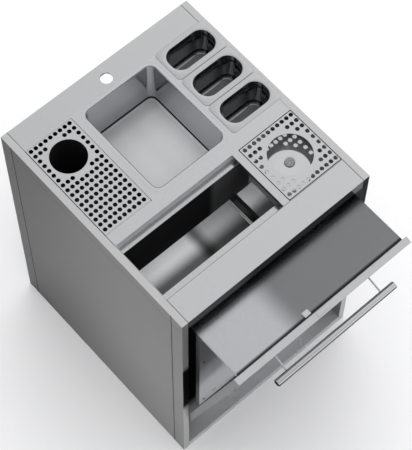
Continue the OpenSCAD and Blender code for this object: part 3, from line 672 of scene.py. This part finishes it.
# Painted shade inside the pans: below the rim, in a line on the stacking step and along the floor's bend.
pan_inside_shade = ("past", "Z", 915.0, -8.0, 0.75)
pan_step_painted_shade = ("line", "Z_flat", 903.0, 6.0, 0.1)
pan_bend_painted_shade = ("line", "Z", 833.2, 7.4, 0.35)
pan_steel = steel_finish("pan_pressed_steel", tone=0.57, rough=0.12, grain=grain_pressed, spread=0.02,
                         marks=(pan_inside_shade, pan_step_painted_shade, pan_bend_painted_shade))
for pan_name, pan_y in pan_places:
    rim_plan = centred((pan_x, pan_y), pan_rim)
    mouth_plan = centred((pan_x, pan_y), pan_mouth)
    bend_plan = tuple(grow(span, -pan_step_in - pan_bend_in) for span in mouth_plan)
    pan_levels = [level(rim_plan, *form) for form in rim_forms]
    pan_levels += [level(mouth_plan, *form) for form in mouth_forms]
    pan_levels += bend_levels(bend_plan, pan_floor, pan_bend_corner, pan_bend, steps=pan_bend_steps)
    pan_levels.append(level(mouth_plan, *floor_form))
    pan_bm = bmesh.new()
    pan_edge = skinned(pan_bm, pan_levels)
    bmesh.ops.contextual_create(pan_bm, geom=pan_edge)
    face_out(pan_bm)
    pan = make_piece(pan_name + "_pressed", pan_bm, pan_steel, pan_name, (pan_name,))
    thicken(pan, pan_wall)

# The perforated drainer plate and the tray under it. The plate is 1.5 mm sheet with rows of holes
# and a wide hole over the waste chute. It lies in its opening and lifts out.
grain_deep = (26.0, 1.0, 26.0)
# The holes' walls and the plate's underside take painted shade, and the tray and chute under them are
# near-black painted shade.
plate_steel = steel_finish("plate_punched_steel", tone=0.62, rough=0.17, grain=grain_deep, side=0.1)
tray_shade_steel = steel_finish("tray_painted_shade", tone=0.02, rough=0.5, grain=grain_plain, metal=0.3)
dress(plate_steel, "drainer_plate")
dress(tray_shade_steel, "drainer_tray", "waste_chute")

# The waste bin. Moulded in one piece from black plastic, tapered, with a stiff upright rim. It
# stands under the chute and pulls out at the back. Its forms, like the pans', run from under the
# floor, over the rim and down to the floor inside.
bin_plan = ((26.0, 184.0), (450.0, 700.0))
bin_forms = ((-7.0, 33.0, 10.0), (-5.0, 36.0, 12.0), (-2.5, 575.0, 14.0), (0.0, 577.0, 14.0),
             (0.0, 598.5, 14.0), (-1.2, 600.0, 14.0), (-3.2, 599.0, 14.0), (-4.5, 575.0, 13.0),
             (-8.5, 37.0, 11.0))
bin_bm = bmesh.new()
bin_inside = skinned(bin_bm, [level(bin_plan, *form) for form in bin_forms])
bmesh.ops.contextual_create(bin_bm, geom=bin_inside)
bin_under = [edge for edge in bin_bm.edges if edge.is_boundary]
bmesh.ops.contextual_create(bin_bm, geom=bin_under)
face_out(bin_bm)
make_piece("waste_bin_moulded", bin_bm, black_plastic, "waste_bin", ("waste_bin",))

# The drip plate and its basin. The basin is a shallow folded box, polished inside, welded under the
# worktop and drained through a grate at its middle. The perforated plate with a wide hole stands
# in it on four pegs.
drip_plan = ((443.9, 629.1), (84.9, 282.1))
drip_corner = 5.0
drip_bend = 3.0
drip_floor = 879.7
drip_wall = 0.8
drip_middle = (538.0, 184.0)
drip_inner_in = 4.0
drip_inner_corner = 1.5
round_rings = ((60.0, 0.0), (19.0, 0.0), (11.6, 0.1))
round_slack = 0.1
# The drip plate's hole walls and underside and the basin's walls take painted shade, side times their tone.
drip_steel = steel_finish("drip_plate_punched_steel", tone=0.62, rough=0.15, grain=grain_deep, side=0.6)
basin_steel = steel_finish("basin_folded_steel", tone=0.62, rough=0.07, grain=grain_pressed, side=0.4,
                           spread=0.01, smear=0.01, metal=0.85)
grate_steel = steel_finish("drain_grate_steel", tone=0.3, rough=0.35, grain=grain_plain, metal=0.6)
dress(drip_steel, "drip_plate")
dress(black_plastic, "drip_feet")
dress(grate_steel, "drip_grate")
basin_levels = [
    level(drip_plan, 0.0, flange_top, drip_corner),
    *bend_levels(drip_plan, drip_floor, drip_corner, drip_bend),
    level(drip_plan, -drip_inner_in, drip_floor, drip_inner_corner),
    *(level(centred(drip_middle), radius, drip_floor - drop, radius - round_slack)
      for radius, drop in round_rings),
]
basin_bm = bmesh.new()
skinned(basin_bm, basin_levels)
face_out(basin_bm)
basin = make_piece("drip_basin_folded", basin_bm, basin_steel, "cabinet", ("drip_basin",))
thicken(basin, drip_wall)

# The drip plate's slit. A thin black ring round the plate fills the slit between it and the
# worktop's edge, a little below the top: painted shadow in the slit.
slit_shadow_plan = ((445.4, 627.6), (86.4, 280.6))
slit_shadow_top = 924.3
slit_shadow_corner = 2.0
slit_shadow_width = 2.3
slit_shadow_bm = bmesh.new()
ring(slit_shadow_bm, slit_shadow_plan, slit_shadow_top, slit_shadow_corner, slit_shadow_width)
face_up(slit_shadow_bm)
make_piece("drip_plate_slit_shadow", slit_shadow_bm, gap_shadow_paint, "cabinet")

# The ice bin. A welded liner, its right end under the drip basin, with a ledge on both long sides
# for its lid, a floor in three flats (left of a drain trough, in it and right of it), a low rail
# beside the trough, foam round it and a plain casing.
ice_floor_y = (108.5, 263.5)
ice_floor_spans = (((22.0, 399.0), 725.0), ((399.0, 426.0), 695.0), ((426.0, 482.0), 725.0))
ice_floor_gap = 0.3
ice_floor_lift = 0.4
ice_floor_corner = 0.4
# Painted shade on the liner's walls below the ledges, more on the left ones, and painted light on the walls
# at the right end.
walls_shade = ("past", "Z_upright", 897.0, -1.5, 0.14)
left_walls_shade = ("past", "X_low", 335.0, -14.0, 0.2)
right_walls_painted_light = ("past", "X_low", 470.0, 5.0, 5.0)
ledge_line = ("line", "Y_flat", 109.0, 0.9, 0.35)
ice_steel = steel_finish("ice_bin_steel", tone=0.6, rough=0.2, grain=grain_pressed, metal=0.0,
                         flat_metal=1.0,
                         marks=(walls_shade, left_walls_shade, right_walls_painted_light, ledge_line))
# Painted shade on the floor towards the front, in a soft band on the left, right of that band and in the
# trough, and painted light right of the trough.
floor_front_shade = ("past", "Y", 207.0, -26.0, 0.12)
floor_left_painted_shade = ("band", "X", 258.0, 34.0, 0.22)
floor_right_painted_shade = ("past", "X", 262.0, 20.0, 0.6)
floor_end_painted_light = ("past", "X", 426.0, 0.5, 2.8)
trough_shade = ("past", "Z", 710.0, -5.0, 0.2)
ice_floor_steel = steel_finish("ice_bin_floor_steel", tone=0.95, rough=0.4, grain=grain_pressed,
                               metal=0.25, spread=0.02,
                               marks=(floor_front_shade, floor_left_painted_shade, floor_right_painted_shade,
                                      floor_end_painted_light, trough_shade))
# Painted shade at the rail's foot and on its upright faces.
rail_foot_shade = ("past", "Z_flat", 728.0, -1.0, 0.5)
rail_steel = steel_finish("trough_rail_steel", tone=0.95, rough=0.3, grain=grain_pressed, metal=0.3,
                          side=0.4, marks=(rail_foot_shade,))
foam = plastic_finish("rigid_foam", (0.72, 0.62, 0.4), rough=0.9, mottle=0.12)
dress(ice_steel, "ice_bin_liner")
dress(rail_steel, "trough_rail")
dress(foam, "ice_bin_foam")
dress(inner_shade_steel, "ice_bin_casing")
ice_floor_bm = bmesh.new()
for floor_x, floor_z in ice_floor_spans:
    floor_edge = corner_loop(ice_floor_bm, grow(floor_x, -ice_floor_gap), grow(ice_floor_y, -ice_floor_gap),
                             floor_z + ice_floor_lift, ice_floor_corner)
    bmesh.ops.contextual_create(ice_floor_bm, geom=floor_edge)
face_up(ice_floor_bm)
make_piece("ice_bin_floor", ice_floor_bm, ice_floor_steel, "cabinet")

# The door. A double skin with folded edges, tilted out on two pins at its foot, with a keeper for
# the magnet above and a stay that stops it.
# The door's upright and downward faces take painted shade, side times its tone.
door_steel = steel_finish("door_sheet_steel", tone=0.42, rough=0.7, side=0.68, metal=0.1)
dress(door_steel, "door_outer", "door_inner", "door_keeper")
dress(liner_steel, "pivot_pins", "door_stay", "door_hinge_leaves", "shelf_hinge_leaves", "hinge_rods")
dress(black_plastic, "pivot_blocks", "stay_guide", "catch_magnet")

# The handle. A polished tube with rounded end caps stands off the door on two thin posts, screwed
# from inside the door. It is drawn for the closed door and swung out with it.
door_open = math.radians(16.05)
door_pivot = at(325.0, 10.0, 196.0)
handle_axis = (-57.0, 833.7)
handle_ends = (116.0, 534.0)
handle_radius = 10.5
handle_round = 2.5
handle_round_steps = 6
handle_steps = 40
# The tube's sides and underside take painted shade, so that only its top stays bright.
handle_steel = steel_finish("handle_polished_steel", tone=0.62, rough=0.2, side=0.08)
handle_profile = [(0.0, 0.0)]
for step in range(1, handle_round_steps + 1):
    swing = math.pi / 2 * step / handle_round_steps
    handle_profile.append((handle_radius - handle_round + handle_round * math.sin(swing),
                           handle_round - handle_round * math.cos(swing)))
handle_line = [(r, handle_ends[0] + d) for r, d in handle_profile]
handle_line += [(r, handle_ends[1] - d) for r, d in reversed(handle_profile)]
handle_bm = bmesh.new()
handle_verts = [handle_bm.verts.new(at(x, handle_axis[0], handle_axis[1] + r)) for r, x in handle_line]
handle_edges = [handle_bm.edges.new(pair) for pair in zip(handle_verts, handle_verts[1:])]
bmesh.ops.spin(handle_bm, geom=handle_verts + handle_edges, cent=at(0.0, *handle_axis),
               axis=(1.0, 0.0, 0.0), angle=math.tau, steps=handle_steps, use_merge=True)
door_swing = Matrix.Translation(door_pivot) @ Matrix.Rotation(door_open, 4, "X") \
    @ Matrix.Translation(-door_pivot)
bmesh.ops.transform(handle_bm, matrix=door_swing, verts=handle_bm.verts)
face_out(handle_bm)
make_piece("handle_tube", handle_bm, handle_steel, "door", ("handle_bar", "handle_caps"))
dress(handle_steel, "handle_posts")
dress(liner_steel, "handle_screws")

# The shelf. A plate with turned-down lips and a small square lug, on hinges at the door's top edge,
# which folds down behind the door as it closes.
shelf_back_shade = ("past", "Y", -14.0, 26.0, 0.5)
shelf_right_shade = ("past", "X_flat", 236.0, 42.0, 0.42)
shelf_front_shade = ("past", "Y_flat", -161.0, -4.0, 0.1)
shelf_steel = steel_finish("shelf_sheet_steel", tone=0.56, rough=0.22, tint=0.05,
                           marks=(shelf_back_shade, shelf_right_shade, shelf_front_shade))
dress(shelf_steel, "shelf")
dress(worktop_steel, "shelf_lug")

# The shelf's gap. A black strip, wedge-shaped in section, along the shelf's front edge where it
# meets the door and riding on the shelf: painted shadow in the gap there.
gap_strip_start = 37.5
gap_strip_length = 575.0
gap_strip_outline = ((-165.8, 850.0), (-165.8, 855.8), (-169.0, 855.8), (-167.4, 850.0))
gap_strip_bm = bmesh.new()
gap_strip_face = gap_strip_bm.faces.new([gap_strip_bm.verts.new(at(gap_strip_start, y, z)) for y, z in gap_strip_outline])
drawn_out(gap_strip_bm, [gap_strip_face], (gap_strip_length / metre, 0.0, 0.0))
face_out(gap_strip_bm)
make_piece("shelf_gap_shadow_strip", gap_strip_bm, gap_shadow_paint, "shelf")
